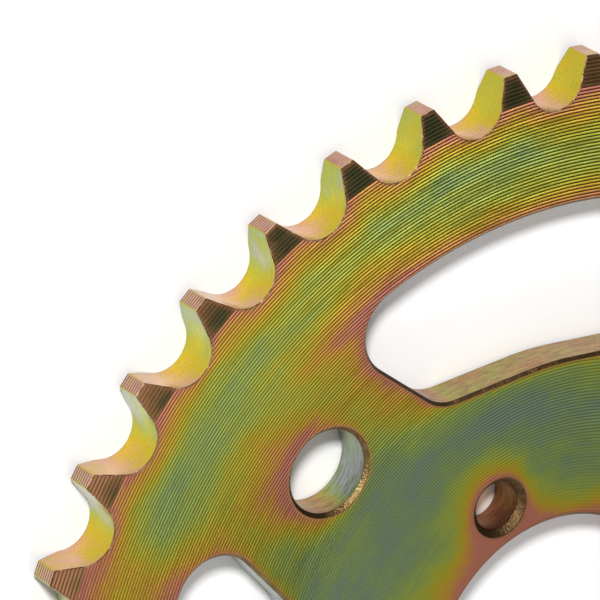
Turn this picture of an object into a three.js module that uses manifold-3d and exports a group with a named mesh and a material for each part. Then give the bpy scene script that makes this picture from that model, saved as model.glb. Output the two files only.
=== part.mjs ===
// Rear sprocket for a motorcycle roller chain: one flat steel plate with forty teeth.
// Millimetres. The axis is +Z, the back face lies at z = 0 and the front face looks up.
// The first spoke points along -Y.
import * as THREE from 'three';
import { mergeVertices } from 'three/addons/utils/BufferGeometryUtils.js';
import Module from 'manifold-3d';

const wasm = await Module();
wasm.setup();

// Chain and teeth
const TEETH = 40;
const CHAIN_PITCH = 15.875;
const SEAT_R = 5.13; // radius of the gap a chain roller sits in
const TIP_R = 103.71;
const TIP_HALF_WIDTH = 1.27; // half the land on top of a tooth

// Plate
const THICKNESS = 7.3;
const FRONT_CHAMFER = { startR: 99.0, depth: 1.43 }; // guides the chain's side plates
const BACK_CHAMFER = { startR: 100.1, depth: 1.08 };
const BORE_R = 24.0;
const EDGE_BREAK = 0.5;

// Drive holes, one on each spoke
const SPOKES = 4;
const DRIVE_HOLE = { circleR: 62.9, r: 7.1, frontBreak: 0.65, backBreak: 0.4 };
// Screw holes beside the bore, countersunk from the front
const SCREW_HOLE = { circleR: 31.15, r: 4.1, frontBreak: 1.1, backBreak: 0.3 };
const SCREW_HOLE_TURN = THREE.MathUtils.degToRad(-24.4); // from the spoke's mid-line

// Lightening slots between the spokes
const SLOT_TURN = THREE.MathUtils.degToRad(0.7); // the slots sit slightly round from the holes
const SLOT_OUTER_R = 79.15;
const SLOT_INNER_R = 52.25;
const SLOT_FILLET = 7.4;
const SLOT_FLAT_AT = THREE.MathUtils.degToRad(5); // where the inner arc runs into straight sides
const SLOT_BREAK = 0.5;
const SPOKE_HALF_WIDTH = 19.3; // measured at SPOKE_WIDTH_AT from the axis
const SPOKE_WIDTH_AT = 60;
const SPOKE_TAPER = THREE.MathUtils.degToRad(5.45); // each side leans in towards the rim

const FIRST_SPOKE = -Math.PI / 2;
const ROUND_SEGMENTS = 120;
const HOLE_SEGMENTS = 36;
const SLOT_CURVE_SEGMENTS = 4;
const PITCH_R = CHAIN_PITCH / (2 * Math.sin(Math.PI / TEETH));

// A closed three.js geometry as a solid that can be joined and cut.
function solid(geometry) {
  const bare = new THREE.BufferGeometry();
  bare.setAttribute('position', geometry.getAttribute('position').clone());
  if (geometry.index) {
    bare.setIndex(geometry.index.clone());
  }
  const welded = mergeVertices(bare, 1e-4);
  const mesh = new wasm.Mesh({
    numProp: 3,
    vertProperties: new Float32Array(welded.getAttribute('position').array),
    triVerts: new Uint32Array(welded.index.array),
  });
  mesh.merge();
  return new wasm.Manifold(mesh);
}

// A profile of [radius, height] points turned about Z.
function turned(profile, segments) {
  const points = profile.map(([r, z]) => new THREE.Vector2(r, z));
  const lathe = new THREE.LatheGeometry(points, segments);
  lathe.rotateX(Math.PI / 2);
  return solid(lathe);
}

// Extrudes a flat outline from one height to another.
function extruded(shape, bottom, top, curveSegments) {
  const body = new THREE.ExtrudeGeometry(shape, {
    depth: top - bottom,
    bevelEnabled: false,
    curveSegments,
  });
  body.translate(0, 0, bottom);
  return solid(body);
}

// The round blank: bore, both faces and the chamfers that thin the teeth.
function turnedBlank() {
  const t = THICKNESS;
  const profile = [
    [BORE_R, EDGE_BREAK],
    [BORE_R + EDGE_BREAK, 0],
    [BACK_CHAMFER.startR, 0],
    [TIP_R, BACK_CHAMFER.depth],
    [TIP_R, t - FRONT_CHAMFER.depth],
    [FRONT_CHAMFER.startR, t],
    [BORE_R + EDGE_BREAK, t],
    [BORE_R, t - EDGE_BREAK],
    [BORE_R, EDGE_BREAK],
  ];
  return turned(profile, ROUND_SEGMENTS);
}

// The toothed outline. Each gap is a roller seat with a straight flank up to each tooth tip.
function toothOutline() {
  const half = Math.PI / TEETH;
  const seat = new THREE.Vector2(PITCH_R * Math.sin(half), PITCH_R * Math.cos(half));
  const corner = new THREE.Vector2(TIP_HALF_WIDTH, Math.sqrt(TIP_R ** 2 - TIP_HALF_WIDTH ** 2));
  const reach = corner.clone().sub(seat);
  const tangentAt = Math.atan2(reach.y, reach.x) + Math.acos(SEAT_R / reach.length());
  const seatHalfAngle = tangentAt - (Math.PI / 2 - half);
  const tangent = new THREE.Vector2(Math.cos(tangentAt), Math.sin(tangentAt));
  tangent.multiplyScalar(SEAT_R).add(seat);
  // The flank runs a little past the tip circle, where the blank ends it.
  const flankTop = corner.clone().sub(tangent).setLength(1).add(corner);
  const topR = flankTop.length();
  const topAngle = Math.atan2(flankTop.x, flankTop.y);

  const outline = new THREE.Shape();
  for (let k = 0; k < TEETH; k += 1) {
    const gap = FIRST_SPOKE + k * 2 * half;
    const tooth = gap + half;
    outline.absarc(
      PITCH_R * Math.cos(gap),
      PITCH_R * Math.sin(gap),
      SEAT_R,
      gap - seatHalfAngle,
      gap + seatHalfAngle,
      true,
    );
    outline.lineTo(topR * Math.cos(tooth - topAngle), topR * Math.sin(tooth - topAngle));
    outline.lineTo(topR * Math.cos(tooth + topAngle), topR * Math.sin(tooth + topAngle));
  }
  outline.closePath();
  return outline;
}

// One slot, its mid-line along +X, between the spokes at plus and minus half a spoke pitch.
function slotOutline() {
  const spoke = Math.PI / SPOKES;
  const edge = spoke + SPOKE_TAPER;
  const along = new THREE.Vector2(Math.cos(edge), Math.sin(edge));
  const inward = new THREE.Vector2(along.y, -along.x);
  const start = new THREE.Vector2(Math.cos(spoke), Math.sin(spoke))
    .multiplyScalar(SPOKE_WIDTH_AT)
    .add(new THREE.Vector2(Math.sin(spoke), -Math.cos(spoke)).multiplyScalar(SPOKE_HALF_WIDTH))
    .addScaledVector(inward, SLOT_FILLET);
  const cornerR = SLOT_OUTER_R - SLOT_FILLET;
  const b = start.dot(along);
  const outer = start.clone().addScaledVector(
    along,
    -b + Math.sqrt(b * b - start.lengthSq() + cornerR ** 2),
  );
  const flat = new THREE.Vector2(Math.cos(SLOT_FLAT_AT), Math.sin(SLOT_FLAT_AT));
  const inner = start.clone().addScaledVector(
    along,
    (SLOT_INNER_R + SLOT_FILLET - start.dot(flat)) / along.dot(flat),
  );
  const outerAt = outer.angle();
  const edgeAt = edge + Math.PI / 2;
  const innerAt = Math.PI + SLOT_FLAT_AT;

  const outline = new THREE.Shape();
  outline.absarc(0, 0, SLOT_OUTER_R, -outerAt, -outerAt / 3, false);
  outline.absarc(0, 0, SLOT_OUTER_R, -outerAt / 3, outerAt / 3, false);
  outline.absarc(0, 0, SLOT_OUTER_R, outerAt / 3, outerAt, false);
  outline.absarc(outer.x, outer.y, SLOT_FILLET, outerAt, edgeAt, false);
  outline.absarc(inner.x, inner.y, SLOT_FILLET, edgeAt, innerAt, false);
  outline.absarc(0, 0, SLOT_INNER_R, SLOT_FLAT_AT, -SLOT_FLAT_AT, true);
  outline.absarc(inner.x, -inner.y, SLOT_FILLET, -innerAt, -edgeAt, false);
  outline.absarc(outer.x, -outer.y, SLOT_FILLET, -edgeAt, -outerAt, false);
  outline.closePath();
  return outline;
}

// A slot cutter with a flare at each face that leaves a 45 degree edge break.
function slotCutter() {
  const shape = slotOutline();
  const through = extruded(shape, -1, THICKNESS + 1, SLOT_CURVE_SEGMENTS);
  const flare = new THREE.ExtrudeGeometry(shape, {
    depth: 0.5,
    curveSegments: SLOT_CURVE_SEGMENTS,
    bevelEnabled: true,
    bevelSegments: 1,
    bevelSize: SLOT_BREAK,
    bevelThickness: SLOT_BREAK,
  });
  const top = solid(flare).translate([0, 0, THICKNESS]);
  const bottom = solid(flare).translate([0, 0, -0.5]);
  return through.add(top).add(bottom);
}

// A round hole cutter that flares at each face.
function holeCutter(hole) {
  const t = THICKNESS;
  const profile = [
    [0, -1],
    [hole.r + hole.backBreak + 1, -1],
    [hole.r, hole.backBreak],
    [hole.r, t - hole.frontBreak],
    [hole.r + hole.frontBreak + 1, t + 1],
    [0, t + 1],
  ];
  return turned(profile, HOLE_SEGMENTS);
}

// The same cutter on each spoke pitch, at a radius and turned from the spokes.
function aroundAxis(cutter, radius, turn) {
  const copies = [];
  for (let k = 0; k < SPOKES; k += 1) {
    const angle = THREE.MathUtils.radToDeg(FIRST_SPOKE + turn) + (k * 360) / SPOKES;
    copies.push(cutter.translate([radius, 0, 0]).rotate([0, 0, angle]));
  }
  return wasm.Manifold.union(copies);
}

const teeth = extruded(toothOutline(), -1, THICKNESS + 1, 5);
const plate = turnedBlank()
  .intersect(teeth)
  .subtract(aroundAxis(slotCutter(), 0, Math.PI / SPOKES + SLOT_TURN))
  .subtract(aroundAxis(holeCutter(DRIVE_HOLE), DRIVE_HOLE.circleR, 0))
  .subtract(aroundAxis(holeCutter(SCREW_HOLE), SCREW_HOLE.circleR, SCREW_HOLE_TURN));

const cut = plate.getMesh();
const geometry = new THREE.BufferGeometry();
geometry.setAttribute('position', new THREE.BufferAttribute(cut.vertProperties, 3));
geometry.setIndex(new THREE.BufferAttribute(cut.triVerts, 1));
geometry.computeVertexNormals();

const material = new THREE.MeshStandardMaterial({
  color: 0xa8973f,
  metalness: 0.9,
  roughness: 0.35,
  flatShading: true,
});
material.name = 'zinc_plated_steel';

const sprocketPlate = new THREE.Mesh(geometry, material);
sprocketPlate.name = 'sprocket_plate';

const rearSprocket = new THREE.Group();
rearSprocket.name = 'rear_sprocket';
rearSprocket.add(sprocketPlate);

export default rearSprocket;
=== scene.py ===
# Rear sprocket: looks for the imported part. Metres, row frame: axis +Z, back face on z = 0.
import math

import bpy
import numpy as np
from mathutils import Matrix, Vector, geometry, kdtree


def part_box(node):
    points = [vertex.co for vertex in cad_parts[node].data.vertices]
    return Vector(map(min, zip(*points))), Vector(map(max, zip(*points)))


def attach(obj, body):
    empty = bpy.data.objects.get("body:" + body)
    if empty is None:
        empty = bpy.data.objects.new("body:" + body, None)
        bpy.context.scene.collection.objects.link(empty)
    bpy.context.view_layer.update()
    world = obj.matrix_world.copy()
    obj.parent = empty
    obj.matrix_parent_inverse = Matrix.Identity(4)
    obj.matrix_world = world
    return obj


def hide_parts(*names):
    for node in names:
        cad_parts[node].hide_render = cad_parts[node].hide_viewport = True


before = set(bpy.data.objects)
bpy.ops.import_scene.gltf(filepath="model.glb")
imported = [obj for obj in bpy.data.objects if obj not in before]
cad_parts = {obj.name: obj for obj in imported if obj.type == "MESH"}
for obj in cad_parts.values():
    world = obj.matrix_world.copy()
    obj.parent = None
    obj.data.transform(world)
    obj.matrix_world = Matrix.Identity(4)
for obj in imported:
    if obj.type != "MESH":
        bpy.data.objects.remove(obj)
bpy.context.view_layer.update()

# ---------------------------------------------------------------- sizes, in millimetres
TEETH = 40
PITCH_R = 15.875 / (2 * math.sin(math.pi / TEETH))
SEAT_R = 5.13
TIP_R = 103.67
TIP_HALF = 1.27
TIP_SOFT = 0.16  # how far a tip's corner is rounded along the flank and the land
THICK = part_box("sprocket_plate")[1][2] * 1000.0
FRONT_START, FRONT_DEPTH = 99.0, 1.43
BACK_START, BACK_DEPTH = 100.1, 1.08
TOOTH_BREAK = 0.13
BORE_R, BORE_BREAK = 24.0, 0.5
SPOKES = 4
FIRST = -math.pi / 2
DRIVE_AT, DRIVE_R, DRIVE_BREAK, DRIVE_BACK_BREAK = 62.9, 7.1, 0.65, 0.4
SCREW_AT, SCREW_R, SCREW_BREAK, SCREW_BACK_BREAK = 31.15, 4.1, 1.1, 0.3
SCREW_TURN = math.radians(-24.4)
SLOT_TURN = math.radians(0.7)
SLOT_OUT, SLOT_IN, SLOT_FILLET, SLOT_BREAK = 79.15, 52.25, 7.4, 0.5
SPOKE_HALF, SPOKE_AT, SPOKE_TAPER = 19.3, 60.0, math.radians(5.45)
SLOT_FLAT = math.radians(5)

# How finely each curve is cut up
SEAT_STEPS, FLANK_STEPS, LAND_STEPS = 28, 7, 6
RIM_STEPS, FILLET_STEPS, INNER_FILLET_STEPS, HUB_STEPS, SIDE_STEPS, FLAT_STEPS = 64, 22, 10, 10, 10, 12
DRIVE_STEPS, SCREW_STEPS, BORE_STEPS = 96, 72, 320
CHAMFER_STEPS = TEETH * 24
WALL_LEVELS = 6

# Values of the "along" attribute on a gap's wall: 0 in the middle of the seat, and then
SEAT_END, FLANK_END, CORNER, LAND = 0.62, 0.98, 1.0, 1.5

GAP, SLOT, DRIVE, SCREW, BORE = KINDS = range(5)
M_FACE, M_CONE, M_GAP, M_TIP, M_WALL, M_BREAK, M_LIP = range(7)


# ---------------------------------------------------------------- outlines
def arc(cx, cy, r, a0, a1, n):
    a = np.linspace(a0, a1, n + 1)
    return np.column_stack([cx + r * np.cos(a), cy + r * np.sin(a)])


def ring(cx, cy, r, n):
    return arc(cx, cy, r, 0, 2 * math.pi, n)[:-1]


def line(a, b, n):
    return a + (b - a) * np.linspace(0, 1, n + 1)[:, None]


def turn(points, angle):
    c, s = math.cos(angle), math.sin(angle)
    return points @ np.array([[c, s], [-s, c]])


def distinct(loop):
    """True for every point that isn't a repeat of the one before it."""
    return np.hypot(*(loop - np.roll(loop, 1, 0)).T) > 1e-6


def tooth_loop():
    """The toothed rim, anticlockwise, and how far along its gap's wall every point is."""
    half = math.pi / TEETH
    seat = np.array([PITCH_R * math.sin(half), PITCH_R * math.cos(half)])
    corner = np.array([TIP_HALF, math.sqrt(TIP_R ** 2 - TIP_HALF ** 2)])
    reach = corner - seat
    at = math.atan2(reach[1], reach[0]) + math.acos(SEAT_R / np.hypot(*reach))
    seat_half = at - (math.pi / 2 - half)
    tangent = seat + SEAT_R * np.array([math.cos(at), math.sin(at)])
    up = (corner - tangent) / np.hypot(*(corner - tangent))
    before = corner - up * TIP_SOFT
    land_half = math.atan2(corner[0], corner[1]) - TIP_SOFT / TIP_R
    t = np.linspace(0, 1, FLANK_STEPS + 1)[1:]
    rise = np.concatenate([SEAT_END + (FLANK_END - SEAT_END) * t, [CORNER, CORNER]])

    def place(p, tooth, side):
        """A point given beside an upright tooth, put on one side of the tooth at an angle."""
        angle = tooth - side * math.atan2(p[0], p[1])
        return np.hypot(*p) * np.array([math.cos(angle), math.sin(angle)])

    parts, along = [], []
    for k in range(TEETH):
        gap = FIRST + k * 2 * half
        tooth = gap + half
        centre = PITCH_R * math.cos(gap), PITCH_R * math.sin(gap)
        parts.append(arc(*centre, SEAT_R, gap - seat_half, gap + seat_half - 2 * math.pi, SEAT_STEPS))
        along.append(np.abs(np.linspace(-1, 1, SEAT_STEPS + 1)) * SEAT_END)
        for side in (1, -1):
            flank = np.array([place(tangent + (before - tangent) * q, tooth, side) for q in t])
            tip = place(corner, tooth, side)
            end = tooth - side * land_half
            land = TIP_R * np.array([math.cos(end), math.sin(end)])
            rounded = flank[-1] * 0.25 + tip * 0.5 + land * 0.25
            points, values = np.vstack([flank, rounded, land]), rise
            if side < 0:
                points, values = points[::-1], values[::-1]
                top = np.linspace(tooth - land_half, tooth + land_half, LAND_STEPS + 1)[1:-1]
                parts.append(np.column_stack([TIP_R * np.cos(top), TIP_R * np.sin(top)]))
                along.append(np.full(len(top), LAND))
            parts.append(points)
            along.append(values)
    loop = np.vstack(parts)
    keep = distinct(loop)
    return loop[keep], np.concatenate(along)[keep]


def slot_loop():
    """One slot, anticlockwise, with its mid-line along +X."""
    spoke = math.pi / SPOKES
    edge = spoke + SPOKE_TAPER
    along = np.array([math.cos(edge), math.sin(edge)])
    inward = np.array([along[1], -along[0]])
    start = SPOKE_AT * np.array([math.cos(spoke), math.sin(spoke)])
    start = start + SPOKE_HALF * np.array([math.sin(spoke), -math.cos(spoke)]) + SLOT_FILLET * inward
    b = start @ along
    outer = start + along * (-b + math.sqrt(b * b - start @ start + (SLOT_OUT - SLOT_FILLET) ** 2))
    flat = np.array([math.cos(SLOT_FLAT), math.sin(SLOT_FLAT)])
    inner = start + along * ((SLOT_IN + SLOT_FILLET - start @ flat) / (along @ flat))
    oa, ea, ia = math.atan2(outer[1], outer[0]), edge + math.pi / 2, math.pi + SLOT_FLAT

    f = SLOT_FILLET
    rim = arc(0, 0, SLOT_OUT, -oa, oa, RIM_STEPS)
    o1 = arc(outer[0], outer[1], f, oa, ea, FILLET_STEPS)
    i1 = arc(inner[0], inner[1], f, ea, ia, INNER_FILLET_STEPS)
    hub = arc(0, 0, SLOT_IN, SLOT_FLAT, -SLOT_FLAT, HUB_STEPS)
    i2 = arc(inner[0], -inner[1], f, -ia, -ea, INNER_FILLET_STEPS)
    o2 = arc(outer[0], -outer[1], f, -ea, -oa, FILLET_STEPS)
    loop = np.vstack([
        rim, o1, line(o1[-1], i1[0], SIDE_STEPS), i1, line(i1[-1], hub[0], FLAT_STEPS), hub,
        line(hub[-1], i2[0], FLAT_STEPS), i2, line(i2[-1], o2[0], SIDE_STEPS), o2,
    ])
    return loop[distinct(loop)]


def outward(loop, empty_inside):
    """Unit vectors at each point of an anticlockwise loop, from the material into the empty side."""
    d = np.roll(loop, -1, 0) - np.roll(loop, 1, 0)
    d /= np.hypot(d[:, 0], d[:, 1])[:, None]
    n = np.column_stack([d[:, 1], -d[:, 0]])
    return -n if empty_inside else n


def top_z(r):
    return THICK - FRONT_DEPTH * np.clip((r - FRONT_START) / (TIP_R - FRONT_START), 0, 1)


def bottom_z(r):
    return BACK_DEPTH * np.clip((r - BACK_START) / (TIP_R - BACK_START), 0, 1)


# Each edge: its loop at the wall, unit vectors to the empty side, the breaks at the front and back,
# its kind, and how far along the wall each point is.
edges = []


def add_opening(loop, front_break, back_break, kind):
    edges.append((loop, outward(loop, True), front_break, back_break, kind, np.zeros(len(loop))))


rim_loop, rim_along = tooth_loop()
edges.append((rim_loop, outward(rim_loop, False), TOOTH_BREAK, TOOTH_BREAK, GAP, rim_along))
slot = slot_loop()
for k in range(SPOKES):
    angle = FIRST + math.pi / SPOKES + SLOT_TURN + k * 2 * math.pi / SPOKES
    add_opening(turn(slot, angle), SLOT_BREAK, SLOT_BREAK, SLOT)
for k in range(SPOKES):
    a = FIRST + k * 2 * math.pi / SPOKES
    hole = ring(DRIVE_AT * math.cos(a), DRIVE_AT * math.sin(a), DRIVE_R, DRIVE_STEPS)
    add_opening(hole, DRIVE_BREAK, DRIVE_BACK_BREAK, DRIVE)
    a += SCREW_TURN
    hole = ring(SCREW_AT * math.cos(a), SCREW_AT * math.sin(a), SCREW_R, SCREW_STEPS)
    add_opening(hole, SCREW_BREAK, SCREW_BACK_BREAK, SCREW)
add_opening(ring(0, 0, BORE_R, BORE_STEPS), BORE_BREAK, BORE_BREAK, BORE)

# ---------------------------------------------------------------- mesh
verts, polygons, face_mat, face_norms = [], [], [], []
attr_film, attr_edge, attr_along = [], [], []


def add_vert(x, y, z, film=0.0, edge=0.0, along=0.0):
    verts.append((x, y, z))
    attr_film.append(film)
    attr_edge.append(edge)
    attr_along.append(along)
    return len(verts) - 1


def edge_rows(loop, out, cut, z_face, sign, flat_break):
    """Rows from the face over the break to the wall. sign is 1 at the front and -1 at the back.
    Each row is its points, their heights and the normal's tilt from the face towards the wall."""
    if flat_break:
        lip = 0.16 * cut
        shape = [
            (-cut - lip * 0.6, 0.0, 0.0), (-cut + lip * 0.25, 0.28 * lip, 30.0), (-cut + lip, lip, 45.0),
            (-lip, cut - lip, 45.0), (-0.28 * lip, cut - lip * 0.25, 60.0), (0.0, cut + lip * 0.6, 90.0),
        ]
    else:
        shape = [
            (-cut, 0.0, 0.0), (-0.62 * cut, 0.08 * cut, 22.5), (-0.29 * cut, 0.29 * cut, 45.0),
            (-0.08 * cut, 0.62 * cut, 67.5), (0.0, cut, 90.0),
        ]
    rows = []
    for across, down, tilt in shape:
        pts = loop + out * across
        r = np.hypot(pts[:, 0], pts[:, 1])
        rows.append((pts, z_face(r) - sign * down, math.radians(tilt)))
    return rows


# How thick the passivation is by radius, from 0 where it is pink to 1 where it is blue-grey
FILM_R = [24, 30, 36, 42, 50, 53.5, 56.5, 60, 66, 72, 78, 84, 90, 93, 96, 99]
FILM_AT_R = [0.72, 0.72, 0.84, 0.94, 0.96, 0.92, 0.80, 0.66, 0.54, 0.48, 0.50, 0.60, 0.68, 0.62, 0.46, 0.26]
# Broad marks in it: radius, degrees from the spoke, reach along the radius and round the axis, change
MARKS = [
    (80.0, -11.5, 3.5, 5.0, -0.26),
    (83.5, -19.0, 7.0, 8.0, -0.27),
    (89.0, 3.0, 8.0, 6.0, 0.06),
    (87.5, 22.3, 8.5, 4.2, -0.40),
    (93.0, -32.0, 3.5, 7.0, 0.17),
    (93.0, -54.0, 4.0, 7.0, -0.18),
    (94.5, -10.5, 4.0, 6.0, -0.08),
    (65.0, -15.0, 9.0, 6.0, -0.33),
    (61.0, 13.0, 9.0, 7.0, 0.15),
    (51.5, -44.0, 3.0, 24.0, -0.14),
    (38.5, -20.0, 4.0, 12.0, -0.20),
    (29.5, -53.0, 5.0, 13.0, 0.30),
    (32.5, -37.0, 3.5, 5.0, 0.28),
    (32.0, -22.0, 3.5, 5.0, -0.30),
    (103.0, 17.0, 3.0, 16.0, -0.45),
    (86.0, 12.0, 6.0, 6.0, 0.10),
    (54.5, -27.0, 3.0, 9.0, -0.16),
    (51.0, 12.0, 6.0, 10.0, -0.13),
    (27.0, -4.0, 4.0, 14.0, -0.17),
    (50.0, -56.0, 4.0, 7.0, -0.20),
    (93.0, 0.0, 3.5, 4.5, 0.20),
    (57.0, -20.0, 4.0, 4.0, -0.25),
]
FRONT_SEED, BACK_SEED = 40, 41
MARK_DRIFT_DEGREES, MARK_DRIFT_MM, MARK_STRENGTH_DRIFT = 6, 2, 0.3  # on all but the first spoke's front
GAP_HALO, GAP_HALO_MM = 0.34, 7.0
SCREW_HALO, SCREW_HALO_MM = 0.78, 2.3
BORE_HALO, BORE_HALO_MM = 0.78, 4.5


def film_at(points, dist, sign):
    """The film's thickness at points of a face. It thins towards the edges, by the distances to them."""
    r = np.hypot(points[:, 0], points[:, 1])
    a = np.arctan2(points[:, 1], points[:, 0])
    film = np.interp(r, FILM_R, FILM_AT_R)
    rng = np.random.default_rng(FRONT_SEED if sign > 0 else BACK_SEED)
    for k in range(SPOKES):
        for at_r, at_a, wide_r, wide_a, change in MARKS:
            j = rng.normal(size=3) * (0 if k == 0 and sign > 0 else 1)
            centre = FIRST + sign * math.radians(at_a + MARK_DRIFT_DEGREES * j[0]) + k * math.pi / 2
            da = np.angle(np.exp(1j * (a - centre)))
            u = (r - at_r - MARK_DRIFT_MM * j[1]) / wide_r
            v = da / math.radians(wide_a)
            film += change * (1 + MARK_STRENGTH_DRIFT * j[2]) * np.exp(-u * u - v * v)
    film -= GAP_HALO * np.clip(1 - dist[GAP][0] / GAP_HALO_MM, 0, 1)
    film -= SCREW_HALO * np.exp(-dist[SCREW][0] / SCREW_HALO_MM)
    film -= BORE_HALO * np.exp(-dist[BORE][0] / BORE_HALO_MM)

    # round a slot the thin film reaches far on the rim's side and hardly at all on the hub's
    d, near = dist[SLOT]
    rim_side = np.clip((r - np.hypot(near[:, 0], near[:, 1])) / np.maximum(d, 0.05), -1, 1)
    strength = np.interp(rim_side, [-1, -0.75, 0.0, 1.0], [0.02, 0.06, 0.40, 0.52])
    film -= strength * np.exp(-d / np.interp(rim_side, [-1, 1], [1.2, 2.7]))

    # round a drive hole it reaches furthest outwards and to one side
    d, near = dist[DRIVE]
    v = points - near
    length = np.hypot(v[:, 0], v[:, 1]) * np.hypot(near[:, 0], near[:, 1]) + 1e-6
    side = -sign * (v[:, 0] * near[:, 1] - v[:, 1] * near[:, 0]) / length
    out = (v * near).sum(1) / length
    lean = 0.72 * out + 0.70 * side
    strength = np.interp(lean, [-0.9, -0.2, 0.4, 1], [0.02, 0.30, 0.62, 0.72])
    film -= strength * np.exp(-(d / np.interp(lean, [-0.5, 0.5, 1], [1.2, 3.4, 5.4])) ** 1.3)
    return film


def kd(points):
    tree = kdtree.KDTree(len(points))
    for i, p in enumerate(points):
        tree.insert((p[0], p[1], 0.0), i)
    tree.balance()
    return tree


def distances_to(tree, points):
    return np.array([tree.find((p[0], p[1], 0))[2] for p in points])


def inside_poly(p, poly):
    x, y = p[:, 0][:, None], p[:, 1][:, None]
    x0, y0 = poly[:, 0], poly[:, 1]
    x1, y1 = np.roll(x0, -1), np.roll(y0, -1)
    hit = ((y0 > y) != (y1 > y)) & (x < (x1 - x0) * (y - y0) / (y1 - y0 + 1e-30) + x0)
    return hit.sum(1) % 2 == 1


def in_material(p, bounds):
    """True for the points on the plate, inside the rim and outside every opening."""
    r = np.hypot(p[:, 0], p[:, 1])
    ok = r > BORE_R
    for b, edge in zip(bounds, edges):
        if edge[4] == GAP:
            far = r > PITCH_R - SEAT_R - 1
            ok[far] &= inside_poly(p[far], b)
        elif edge[4] == SLOT:
            ok &= ~inside_poly(p, b)
        else:
            c = b.mean(0)
            ok &= np.hypot(*(p - c).T) > np.hypot(*(b[0] - c))
    return ok


GRID_STEP, BACK_GRID_STEP = 1.7, 3.0
RING_OFFSETS = ((0.5, 2), (1.1, 2), (2.0, 3))  # rings beside each edge: how far in, and one point kept in how many
GRID_TO_EDGE, GRID_TO_CHAMFER, RINGS_TO_CHAMFER, GRID_END_R = 2.3, 0.5, 0.35, 102.5


def sheet(sign):
    """One face with its tooth chamfers: points, triangles, which of them each edge point became,
    the distances and nearest points on each kind of edge, and the rows down each edge."""
    z_face = top_z if sign > 0 else bottom_z
    chamfer_r = FRONT_START if sign > 0 else BACK_START
    rows_by_edge = [
        edge_rows(loop, out, front if sign > 0 else back, z_face, sign, kind != GAP)
        for loop, out, front, back, kind, along in edges
    ]
    bounds = [rows[0][0] for rows in rows_by_edge]
    links, count = [], 0
    for b in bounds:
        n = len(b)
        links += [(count + i, count + (i + 1) % n) for i in range(n)]
        count += n
    trees = [kd(np.vstack([b for b, e in zip(bounds, edges) if e[4] == kind])) for kind in KINDS]
    all_edges = kd(np.vstack(bounds))

    # inner points: rings beside each edge, an even grid, and the circle where the chamfer starts
    inner = []
    for b, edge in zip(bounds, edges):
        for offset, step in RING_OFFSETS:
            p = (b - edge[1] * offset)[::step]
            inner.append(p[distances_to(all_edges, p) > 0.82 * offset])
    step = GRID_STEP if sign > 0 else BACK_GRID_STEP
    g = np.arange(-TIP_R, TIP_R, step)
    gx, gy = np.meshgrid(g, g * 0.866)
    gx = gx + (np.arange(len(g)) % 2)[:, None] * step / 2
    grid = np.column_stack([gx.ravel(), gy.ravel()])
    r = np.hypot(grid[:, 0], grid[:, 1])
    grid = grid[(r < GRID_END_R) & (r > BORE_R) & (np.abs(r - chamfer_r) > GRID_TO_CHAMFER)]
    grid = grid[distances_to(all_edges, grid) > GRID_TO_EDGE]
    inner.append(grid[in_material(grid, bounds)])
    inner = np.vstack(inner)
    inner = inner[np.abs(np.hypot(*inner.T) - chamfer_r) > RINGS_TO_CHAMFER]
    circle = ring(0, 0, chamfer_r, CHAMFER_STEPS)
    on_plate = np.flatnonzero(in_material(circle, bounds))
    index = {i: count + len(inner) + j for j, i in enumerate(on_plate)}
    for i in on_plate:
        j = (i + 1) % len(circle)
        if j in index:
            links.append((index[i], index[j]))

    pts = np.vstack(bounds + [inner, circle[on_plate]])
    cut = geometry.delaunay_2d_cdt([Vector(p) for p in pts], links, [], 0, 1e-7)
    flat = np.array([tuple(v) for v in cut[0]])
    tri = np.array(cut[2])
    tri = tri[in_material(flat[tri].mean(1), bounds)]
    became = {q: i for i, origins in enumerate(cut[3]) for q in origins}
    dist = []
    for tree in trees:
        found = [tree.find((q[0], q[1], 0)) for q in flat]
        dist.append((np.array([f[2] for f in found]), np.array([f[0][:2] for f in found])))
    return flat, tri, became, dist, rows_by_edge


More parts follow.
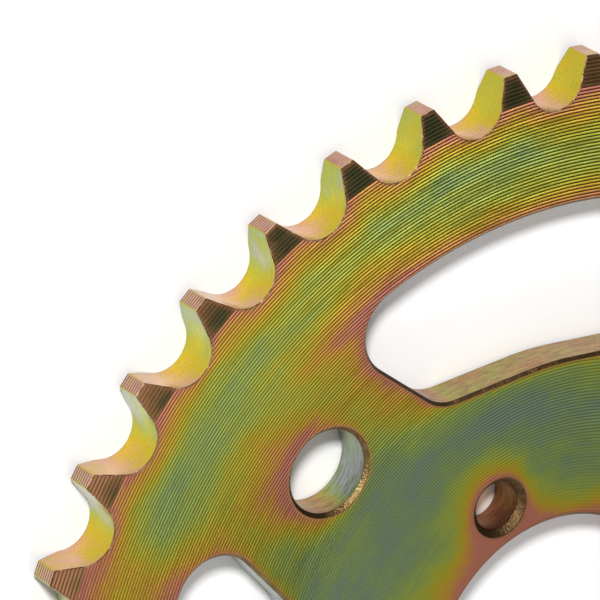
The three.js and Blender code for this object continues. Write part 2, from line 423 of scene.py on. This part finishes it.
def build_face(sign):
    """Adds one face and the breaks round it, and returns each edge's last row, at the wall."""
    flat, tri, became, dist, rows_by_edge = sheet(sign)
    start_r, depth = (FRONT_START, FRONT_DEPTH) if sign > 0 else (BACK_START, BACK_DEPTH)
    film = film_at(flat, dist, sign)
    near = np.min([d for d, _ in dist], 0)
    r = np.hypot(flat[:, 0], flat[:, 1])
    z = (top_z if sign > 0 else bottom_z)(r)
    ids = [add_vert(x, y, h, f, e) for (x, y), h, f, e in zip(flat, z, film, near)]
    slope = depth / (TIP_R - start_r)
    k = 1 / math.sqrt(1 + slope * slope)
    for corners in tri:
        cone = np.hypot(*flat[corners].sum(0) / 3) > start_r
        p = flat[corners]
        area = (p[1][0] - p[0][0]) * (p[2][1] - p[0][1]) - (p[2][0] - p[0][0]) * (p[1][1] - p[0][1])
        if (area < 0) == (sign > 0):
            corners = corners[::-1]
        polygons.append([ids[i] for i in corners])
        face_mat.append(M_CONE if cone else M_FACE)
        if cone:
            tilt = k * slope
            face_norms.append([(tilt * flat[i][0] / r[i], tilt * flat[i][1] / r[i], sign * k) for i in corners])
        else:
            face_norms.append([(0.0, 0.0, float(sign))] * 3)

    last_rows, base = [], 0
    for rows, (loop, out, front, back, kind, along) in zip(rows_by_edge, edges):
        n = len(loop)
        prev = [ids[became[base + i]] for i in range(n)]
        base += n
        for (_, _, t0), (pts, heights, t1) in zip(rows, rows[1:]):
            cur = [add_vert(p[0], p[1], h, along=s) for p, h, s in zip(pts, heights, along)]
            for i in range(n):
                i2 = (i + 1) % n
                quad = [prev[i], prev[i2], cur[i2], cur[i]]
                norms = [
                    (out[q][0] * math.sin(t), out[q][1] * math.sin(t), sign * math.cos(t))
                    for q, t in ((i, t0), (i2, t0), (i2, t1), (i, t1))
                ]
                if (kind != GAP) != (sign > 0):
                    quad, norms = quad[::-1], norms[::-1]
                polygons.append(quad)
                face_mat.append(M_LIP if kind == GAP else M_BREAK)
                face_norms.append(norms)
            prev = cur
        last_rows.append(prev)
    return last_rows


def build_walls(tops, bottoms):
    """Joins the two faces' last rows down every edge."""
    for top, bottom, (loop, out, front, back, kind, along) in zip(tops, bottoms, edges):
        n = len(loop)
        prev = top
        for level in range(1, WALL_LEVELS + 1):
            if level == WALL_LEVELS:
                cur = bottom
            else:
                t = level / WALL_LEVELS
                cur = []
                for i in range(n):
                    x, y, high = verts[top[i]]
                    cur.append(add_vert(x, y, high + (verts[bottom[i]][2] - high) * t, along=along[i]))
            for i in range(n):
                i2 = (i + 1) % n
                quad = [prev[i], prev[i2], cur[i2], cur[i]]
                norms = [(out[q][0], out[q][1], 0.0) for q in (i, i2, i2, i)]
                material = M_WALL
                if kind == GAP:
                    quad, norms = quad[::-1], norms[::-1]
                    ends = along[i], along[i2]
                    material = M_TIP if min(ends) >= CORNER and max(ends) == LAND else M_GAP
                polygons.append(quad)
                face_mat.append(material)
                face_norms.append(norms)
            prev = cur


build_walls(build_face(1), build_face(-1))

mesh = bpy.data.meshes.new("plated_plate")
mesh.from_pydata([(x / 1000, y / 1000, z / 1000) for x, y, z in verts], [], polygons)
for name, values in (("film", attr_film), ("edge_mm", attr_edge), ("along", attr_along)):
    attribute = mesh.attributes.new(name, "FLOAT", "POINT")
    attribute.data.foreach_set("value", np.array(values, np.float32))
mesh.polygons.foreach_set("material_index", np.array(face_mat, np.int32))
mesh.polygons.foreach_set("use_smooth", np.ones(len(mesh.polygons), bool))
mesh.update()
mesh.normals_split_custom_set([n for norms in face_norms for n in norms])
plate = bpy.data.objects.new("plated_plate", mesh)
bpy.context.scene.collection.objects.link(plate)


# ---------------------------------------------------------------- materials
class Graph:
    """A little shorthand for building node trees."""

    def __init__(self, name):
        self.mat = bpy.data.materials.new(name)
        self.mat.use_nodes = True
        self.nt = self.mat.node_tree
        self.nt.nodes.clear()

    def node(self, kind, **props):
        n = self.nt.nodes.new(kind)
        for k, v in props.items():
            setattr(n, k, v)
        return n

    def put(self, socket, value):
        if isinstance(value, bpy.types.NodeSocket):
            self.nt.links.new(value, socket)
        elif value is not None:
            socket.default_value = value

    def math(self, op, a, b=None, c=None):
        n = self.node("ShaderNodeMath", operation=op)
        for i, v in enumerate((a, b, c)):
            self.put(n.inputs[i], v)
        return n.outputs[0]

    def vmath(self, op, a, b=None, scale=None):
        n = self.node("ShaderNodeVectorMath", operation=op)
        self.put(n.inputs[0], a)
        if b is not None:
            self.put(n.inputs[1], b)
        if scale is not None:
            self.put(n.inputs["Scale"], scale)
        return n.outputs["Value"] if op in ("LENGTH", "DOT_PRODUCT") else n.outputs["Vector"]

    def xyz(self, x, y, z):
        n = self.node("ShaderNodeCombineXYZ")
        for i, v in enumerate((x, y, z)):
            self.put(n.inputs[i], v)
        return n.outputs[0]

    def split(self, v):
        n = self.node("ShaderNodeSeparateXYZ")
        self.put(n.inputs[0], v)
        return n.outputs

    def attr(self, name):
        return self.node("ShaderNodeAttribute", attribute_name=name).outputs["Fac"]

    def noise(self, vec, scale, detail=2.0, rough=0.5):
        n = self.node("ShaderNodeTexNoise")
        self.put(n.inputs["Vector"], vec)
        n.inputs["Scale"].default_value = scale
        n.inputs["Detail"].default_value = detail
        n.inputs["Roughness"].default_value = rough
        return n.outputs["Fac"]

    def ramp(self, fac, stops, interp="EASE"):
        n = self.node("ShaderNodeValToRGB")
        n.color_ramp.interpolation = interp
        el = n.color_ramp.elements
        while len(el) > 1:
            el.remove(el[-1])
        el[0].position = stops[0][0]
        el[0].color = (*stops[0][1], 1)
        for pos, col in stops[1:]:
            e = el.new(pos)
            e.color = (*col, 1)
        self.put(n.inputs[0], fac)
        return n.outputs[0]

    def mix(self, fac, a, b):
        n = self.node("ShaderNodeMix", data_type="RGBA")
        self.put(n.inputs[0], fac)
        self.put(n.inputs[6], a)
        self.put(n.inputs[7], b)
        return n.outputs[2]

    def scale(self, color, k):
        return self.vmath("SCALE", color, scale=k)

    def span(self, v, a0, a1, b0, b1):
        n = self.node("ShaderNodeMapRange")
        for i, q in enumerate((v, a0, a1, b0, b1)):
            self.put(n.inputs[i], q)
        return n.outputs[0]

    def place(self):
        """Position in millimetres and its parts, radius, the unit vector away from the axis, and the normal."""
        co = self.node("ShaderNodeTexCoord")
        mm = self.vmath("SCALE", co.outputs["Object"], scale=1000.0)
        x, y, z = self.split(mm)
        flat = self.xyz(x, y, 0.0)
        r = self.vmath("LENGTH", flat)
        away = self.vmath("NORMALIZE", flat)
        return mm, (x, y, z), r, away, co.outputs["Normal"]

    def polar(self, x, y, r, round_scale, radial_scale):
        """A vector for streaks that run round the axis: long along the angle, short across it."""
        n = self.vmath("NORMALIZE", self.xyz(x, y, 0.0))
        ax, ay, _ = self.split(self.vmath("SCALE", n, scale=round_scale))
        return self.xyz(ax, ay, self.math("MULTIPLY", r, radial_scale))

    def stretch(self, x, y, z, flat, tall):
        """A vector for lines that run level round a wall: slow in x and y, quick in z."""
        return self.xyz(*[self.math("MULTIPLY", v, k) for v, k in ((x, flat), (y, flat), (z, tall))])

    def wobble(self, noise, amount):
        """A noise as a change of up to the amount either way."""
        return self.span(noise, 0.3, 0.7, -amount, amount)

    def curve(self, r, stops):
        """A value that follows the radius, by stops at shares of FACE_SPAN."""
        return self.ramp(self.math("DIVIDE", r, FACE_SPAN), [(at, (value,) * 3) for at, value in stops], "LINEAR")

    def bump(self, height, strength, distance):
        b = self.node("ShaderNodeBump")
        b.inputs["Strength"].default_value = strength
        b.inputs["Distance"].default_value = distance
        self.put(b.inputs["Height"], height)
        return b.outputs[0]

    def world_normal(self, n):
        t = self.node("ShaderNodeVectorTransform", vector_type="NORMAL", convert_from="OBJECT", convert_to="WORLD")
        self.put(t.inputs[0], self.vmath("NORMALIZE", n))
        return t.outputs[0]

    def metal(self, color, rough, normal, coat=0.0, coat_rough=0.15):
        p = self.node("ShaderNodeBsdfPrincipled")
        self.put(p.inputs["Base Color"], color)
        self.put(p.inputs["Roughness"], rough)
        self.put(p.inputs["Normal"], normal)
        p.inputs["Metallic"].default_value = 1.0
        p.inputs["Coat Weight"].default_value = coat
        p.inputs["Coat Roughness"].default_value = coat_rough
        o = self.node("ShaderNodeOutputMaterial")
        self.nt.links.new(p.outputs[0], o.inputs[0])
        return self.mat


# The passivation's colours in order of thickness, from a pink edge to blue-grey.
FILM = [
    (0.00, (0.40, 0.145, 0.095)),
    (0.10, (0.43, 0.180, 0.062)),
    (0.24, (0.42, 0.235, 0.030)),
    (0.38, (0.375, 0.275, 0.022)),
    (0.50, (0.315, 0.295, 0.028)),
    (0.62, (0.262, 0.300, 0.045)),
    (0.72, (0.220, 0.285, 0.068)),
    (0.82, (0.185, 0.250, 0.080)),
    (0.92, (0.163, 0.226, 0.112)),
    (1.00, (0.148, 0.202, 0.145)),
]


# The other surfaces' colours
# The tooth chamfers' near-black colours are painted shade, standing in for the dark overhead they reflect; their
# browns are the film's own colour.
CHAMFER_COLORS = [
    (0.0, (0.34, 0.17, 0.08)), (0.2, (0.22, 0.12, 0.05)), (0.38, (0.075, 0.070, 0.03)), (0.6, (0.05, 0.062, 0.028)),
]
GAP_COLORS = [
    (0.0, (0.56, 0.33, 0.24)), (0.14, (0.55, 0.34, 0.16)), (0.28, (0.54, 0.37, 0.06)), (0.44, (0.52, 0.40, 0.02)),
    (0.70, (0.45, 0.42, 0.03)), (0.88, (0.37, 0.42, 0.07)), (0.98, (0.36, 0.41, 0.22)), (1.0, (0.39, 0.40, 0.30)),
]
TIP_COLORS = [(0.3, (0.5, 0.24, 0.16)), (0.6, (0.62, 0.36, 0.26)), (0.8, (0.6, 0.45, 0.2))]
WALL_COLORS = [
    (0.0, (0.40, 0.19, 0.10)), (0.25, (0.44, 0.27, 0.10)), (0.5, (0.37, 0.35, 0.09)), (0.72, (0.28, 0.36, 0.15)),
    (0.9, (0.30, 0.33, 0.31)), (1.0, (0.34, 0.34, 0.36)),
]
LIP_COLORS = [(0.4, (0.10, 0.05, 0.025)), (0.55, (0.30, 0.17, 0.10)), (0.72, (0.62, 0.42, 0.32))]
BREAK_COLORS = [
    (0.15, (0.085, 0.05, 0.022)), (0.38, (0.17, 0.10, 0.042)), (0.58, (0.20, 0.15, 0.06)), (0.78, (0.27, 0.27, 0.11)),
]
FACE_EDGE_COLOR = (0.33, 0.14, 0.07, 1)

# Directions the colours of upright surfaces shift towards. GAP_SHIFT paints the film's sheen into the gaps' walls:
# pink where a wall is seen at a glancing angle, gold to green where it faces the camera. On the breaks round the
# holes the dark end of the HOLE_SHIFT colours is painted shade, and TIP_SHIFT sets painted light and shade on the tip
# lands.
GAP_SHIFT = (0.985, 0.174, 0.0)
HOLE_SHIFT = (0.707, -0.707, 0.0)
TIP_SHIFT = (0.342, -0.940, 0.0)
HUB_R = 40.0  # the screw holes and the bore lie inside this

# Turning grooves, in millimetres: their pitch on the hub, what the rim's adds to it, where the rim starts
HUB_PITCH, RIM_PITCH_EXTRA, RIM_FROM = 0.5515, 0.0225, 81.0
TIP_PITCH = 0.574
GROOVE_BIAS = 0.08  # how much of the pitch the bright flank takes from the dark one
# Slopes, painted groove shade and tones by radius, at shares of FACE_SPAN
FACE_SPAN = 104.0
GROOVE_SLOPE = [(0.24, 0.012), (0.34, 0.025), (0.48, 0.05), (0.55, 0.16), (0.70, 0.20), (1.0, 0.225)]
GROOVE_PAINTED_SHADE = [(0.24, 0.08), (0.34, 0.14), (0.38, 0.28), (0.48, 0.32), (0.55, 0.50), (0.76, 0.56), (1.0, 0.56)]
FACE_TONE = [(0.50, 1.0), (0.56, 0.65), (0.70, 0.66), (0.76, 0.76), (0.84, 0.84), (1.0, 0.84)]


def grooves(g, r, pitch):
    """Grooves round the axis: -1 and 1 on their two flanks, 0 to 1 across each, and each one's number."""
    u = g.math("DIVIDE", g.math("SUBTRACT", r, RIM_FROM), pitch)
    across = g.math("FRACT", u)
    flank = g.math("MULTIPLY_ADD", across, 6.0, -3.0 + GROOVE_BIAS * 6.0)
    flank = g.math("MINIMUM", g.math("MAXIMUM", flank, -1.0), 1.0)
    return flank, across, g.math("FLOOR", u)


def face_material(cone):
    g = Graph("turned_chamfer" if cone else "turned_face")
    mm, (x, y, z), r, away, nrm = g.place()
    broad = g.noise(g.vmath("ADD", mm, (31.0, 7.0, 0.0)), 0.045, 2.0, 0.5)
    mid = g.noise(g.vmath("ADD", mm, (5.0, 90.0, 3.0)), 0.16, 3.0, 0.55)
    fine = g.noise(mm, 2.2, 2.0, 0.6)
    streak = g.noise(g.polar(x, y, r, 9.0, 1.1), 1.0, 3.0, 0.6)
    drift = g.noise(g.polar(x, y, r, 7.0, 0.28), 1.0, 3.0, 0.6)
    hair = g.noise(g.polar(x, y, r, 60.0, 14.0), 1.0, 1.0)
    f = g.attr("film")
    for change, amount in ((broad, 0.05), (mid, 0.05), (drift, 0.08), (fine, 0.03)):
        f = g.math("ADD", f, g.wobble(change, amount))

    # each groove has a slope that catches the light, and one flank is painted darker than the other: painted shade on
    # top of the real slope
    beyond = g.math("GREATER_THAN", r, RIM_FROM)
    pitch = g.math("ADD", HUB_PITCH, g.math("MULTIPLY", beyond, RIM_PITCH_EXTRA))
    wear = g.span(streak, 0.25, 0.75, 0.75, 1.2)
    flank, across, turn_no = grooves(g, r, pitch)
    slope = g.math("MULTIPLY", flank, g.math("MULTIPLY", g.curve(r, GROOVE_SLOPE), wear))
    slope = g.math("ADD", slope, g.wobble(hair, 0.015))
    each = g.noise(g.xyz(turn_no, 3.3, 1.7), 0.9, 0.0)
    f = g.math("ADD", f, g.math("MULTIPLY", g.math("SUBTRACT", across, 0.5), 0.12))
    f = g.math("ADD", f, g.wobble(each, 0.03))
    # Painted shade: the colour is made darker on one flank of each groove and lighter on the other, by an amount that
    # follows the radius
    shade_and_tone = g.math("MULTIPLY_ADD", g.math("MULTIPLY", flank, g.curve(r, GROOVE_PAINTED_SHADE)), wear, 1.0)
    shade_and_tone = g.math("MULTIPLY", g.curve(r, FACE_TONE), g.math("MAXIMUM", 0.15, shade_and_tone))

    if cone:
        # Partly painted shade: the near-black end of the chamfer colours stands in for the dark overhead the chamfer
        # reflects; the browns are the film's own colour
        chamfer_film_and_shade = g.ramp(g.math("ADD", f, 0.34), CHAMFER_COLORS)
        color = g.scale(chamfer_film_and_shade, g.math("MULTIPLY_ADD", shade_and_tone, 0.55, 0.45))
    else:
        color = g.scale(g.ramp(f, FILM, "LINEAR"), shade_and_tone)
    rim = g.span(g.attr("edge_mm"), 0.0, 0.5, 0.75, 0.0)
    color = g.mix(g.math("MAXIMUM", rim, 0.0), color, FACE_EDGE_COLOR)
    bend = g.vmath("SCALE", away, scale=g.math("MULTIPLY", slope, -1.0))
    normal = g.world_normal(g.vmath("ADD", nrm, bend))
    return g.metal(color, g.span(streak, 0.3, 0.7, 0.28, 0.33), normal)


def gap_material():
    g = Graph("milled_gap")
    mm, (x, y, z), _, _, nrm = g.place()
    patch = g.noise(g.vmath("ADD", mm, (11.0, 3.0, 0.0)), 0.22, 2.0, 0.5)
    lines = g.noise(g.stretch(x, y, z, 0.12, 2.6), 1.0, 3.0, 0.6)
    # The film's colours shifted by which way the wall faces: a painted sheen, pink on walls seen at a glancing angle
    # and gold to green on walls facing the camera
    f = g.math("MULTIPLY_ADD", g.vmath("DOT_PRODUCT", nrm, GAP_SHIFT), 0.5, 0.5)
    f = g.math("ADD", f, g.wobble(patch, 0.16))
    f = g.math("ADD", f, g.span(g.attr("along"), 0.0, SEAT_END, -0.04, 0.04))
    f = g.math("ADD", f, g.wobble(lines, 0.08))
    rough = g.span(lines, 0.3, 0.7, 0.22, 0.34)
    return g.metal(g.ramp(f, GAP_COLORS), rough, g.bump(lines, 0.25, 0.0002), coat=0.25, coat_rough=0.2)


def tip_material():
    g = Graph("turned_tip")
    mm, (x, y, z), _, _, nrm = g.place()
    f = g.math("FRACT", g.math("DIVIDE", z, TIP_PITCH))
    across = g.math("MULTIPLY_ADD", f, 2.0, -1.0)
    slope = g.xyz(0.0, 0.0, g.math("MULTIPLY", across, 0.3))
    patch = g.noise(mm, 0.3, 2.0)
    color = g.ramp(g.math("ADD", patch, g.math("MULTIPLY", f, 0.15)), TIP_COLORS)
    # Painted light and shade: each turned line is coloured lighter on one flank than the other, and the lands are
    # darker, with stronger lines, the more they face TIP_SHIFT
    lean = g.vmath("DOT_PRODUCT", nrm, TIP_SHIFT)
    painted_line_shade, level = g.span(lean, 0.4, 1.0, 0.30, 0.62), g.span(lean, 0.4, 1.0, 0.95, 0.66)
    color = g.scale(color, g.math("MULTIPLY_ADD", across, painted_line_shade, level))
    return g.metal(color, 0.34, g.world_normal(g.vmath("ADD", nrm, slope)), coat=0.1)


def wall_material():
    g = Graph("drilled_wall")
    mm, (x, y, z), r, _, nrm = g.place()
    patch = g.noise(g.vmath("ADD", mm, (2.0, 60.0, 0.0)), 0.14, 2.0)
    marks = g.noise(g.stretch(x, y, z, 0.35, 2.2), 1.0, 4.0, 0.65)
    shift = g.math("MAXIMUM", g.vmath("DOT_PRODUCT", nrm, HOLE_SHIFT), -0.2)
    f = g.math("MULTIPLY_ADD", shift, 0.72, 0.22)
    f = g.math("ADD", f, g.math("ADD", g.wobble(patch, 0.2), g.wobble(marks, 0.15)))
    f = g.math("SUBTRACT", f, g.math("MULTIPLY", g.math("LESS_THAN", r, HUB_R), 0.75))
    color = g.scale(g.ramp(f, WALL_COLORS), g.span(marks, 0.35, 0.6, 0.62, 1.08))
    return g.metal(color, g.span(marks, 0.3, 0.7, 0.24, 0.4), g.bump(marks, 0.5, 0.0003), coat=0.15)


def break_material(gap):
    g = Graph("gap_edge" if gap else "edge_break")
    mm, _, r, _, nrm = g.place()
    patch = g.noise(mm, 0.5, 3.0, 0.6)
    grain = g.noise(mm, 3.0, 2.0, 0.6)
    normal = g.bump(grain, 0.7, 0.0003)
    if gap:
        return g.metal(g.ramp(g.math("ADD", patch, g.wobble(grain, 0.1)), LIP_COLORS), 0.45, normal)
    # Painted shade: breaks that face away from HOLE_SHIFT get the dark browns, those facing it the olive ones
    shift = g.vmath("DOT_PRODUCT", nrm, HOLE_SHIFT)
    f = g.math("MULTIPLY_ADD", shift, 0.6, g.span(patch, 0.3, 0.7, 0.0, 0.35))
    f = g.math("SUBTRACT", f, g.math("MULTIPLY", g.math("LESS_THAN", r, HUB_R), 0.3))
    return g.metal(g.ramp(f, BREAK_COLORS), 0.42, normal)


# In the order of the M_ numbers
for material in (face_material(False), face_material(True), gap_material(), tip_material(),
                 wall_material(), break_material(False), break_material(True)):
    mesh.materials.append(material)

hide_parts("sprocket_plate")
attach(plate, "root")

# ---------------------------------------------------------------- floor, lights, camera
scene = bpy.context.scene


def make_floor():
    half, cells = 3.0, 8
    row = cells + 1
    ticks = np.linspace(-half, half, row)
    points = [(x, y, -0.00005) for y in ticks for x in ticks]
    faces = [(a, a + 1, a + row + 1, a + row) for j in range(cells) for a in range(j * row, j * row + cells)]
    m = bpy.data.meshes.new("floor")
    m.from_pydata(points, [], faces)
    ob = bpy.data.objects.new("floor", m)
    scene.collection.objects.link(ob)
    g = Graph("pale_floor")
    p = g.node("ShaderNodeBsdfPrincipled")
    p.inputs["Base Color"].default_value = (0.73, 0.73, 0.73, 1)
    p.inputs["Roughness"].default_value = 0.9
    p.inputs["Specular IOR Level"].default_value = 0.1
    o = g.node("ShaderNodeOutputMaterial")
    g.nt.links.new(p.outputs[0], o.inputs[0])
    m.materials.append(g.mat)


make_floor()

AIM = Vector((0, -0.05, 0))
LIGHT_DISTANCE = 1.6


def heading(azimuth, elevation):
    a, e = math.radians(azimuth), math.radians(elevation)
    return Vector((math.cos(e) * math.cos(a), math.cos(e) * math.sin(a), math.sin(e)))


def lamp(name, shape, width, power):
    light = bpy.data.lights.new(name, "AREA")
    light.shape = shape
    light.size = width
    light.energy = power
    ob = bpy.data.objects.new(name, light)
    scene.collection.objects.link(ob)
    return ob


def disk(name, centre, size, power):
    """A round softbox; its centre is an azimuth and an elevation."""
    ob = lamp(name, "DISK", size, power)
    d = heading(*centre)
    ob.location = AIM + d * LIGHT_DISTANCE
    ob.rotation_euler = (-d).to_track_quat("-Z", "Y").to_euler()


def panel(name, centre, toward, width, height, power):
    """A rectangular softbox; its width runs from its centre towards another direction."""
    ob = lamp(name, "RECTANGLE", width, power)
    ob.data.size_y = height
    z = heading(*centre)
    x = heading(*toward)
    x = (x - z * x.dot(z)).normalized()
    y = z.cross(x)
    p = AIM + z * LIGHT_DISTANCE
    ob.matrix_world = Matrix(((x.x, y.x, z.x, p.x), (x.y, y.y, z.y, p.y), (x.z, y.z, z.z, p.z), (0, 0, 0, 1)))


disk("key", (-98, 40), 0.24, 37)
panel("overhead", (40, 76), (100, 40), 0.6, 0.6, 1.5)
panel("side", (-18, 32), (30, 32), 0.9, 0.7, 1.8)
panel("strip", (62.0, 23.5), (17.2, 18.4), 1.89, 0.52, 10.9)
panel("softbox", (67.8, 50.0), (207.6, 31.9), 1.8, 0.9, 3.7)

world = bpy.data.worlds.new("studio")
world.use_nodes = True
bg = world.node_tree.nodes["Background"]
bg.inputs[0].default_value = (1, 1, 1, 1)
bg.inputs[1].default_value = 0.25
scene.world = world

camera = bpy.data.cameras.new("camera")
camera.sensor_width = 36.0
camera.lens = 387.06
camera.clip_start = 0.05
camera.clip_end = 20.0
cam = bpy.data.objects.new("camera", camera)
right = Vector((-0.57750711, 0.59109805, 0.56310624))
up = Vector((-0.81221111, -0.48566606, -0.32317423))
back = right.cross(up).normalized()
right = up.cross(back).normalized()
cam.matrix_world = Matrix((
    (right.x, up.x, back.x, 0.0648794),
    (right.y, up.y, back.y, -0.7386939),
    (right.z, up.z, back.z, 0.7748933),
    (0, 0, 0, 1),
))
scene.collection.objects.link(cam)
scene.camera = cam
scene.view_settings.view_transform = "Standard"
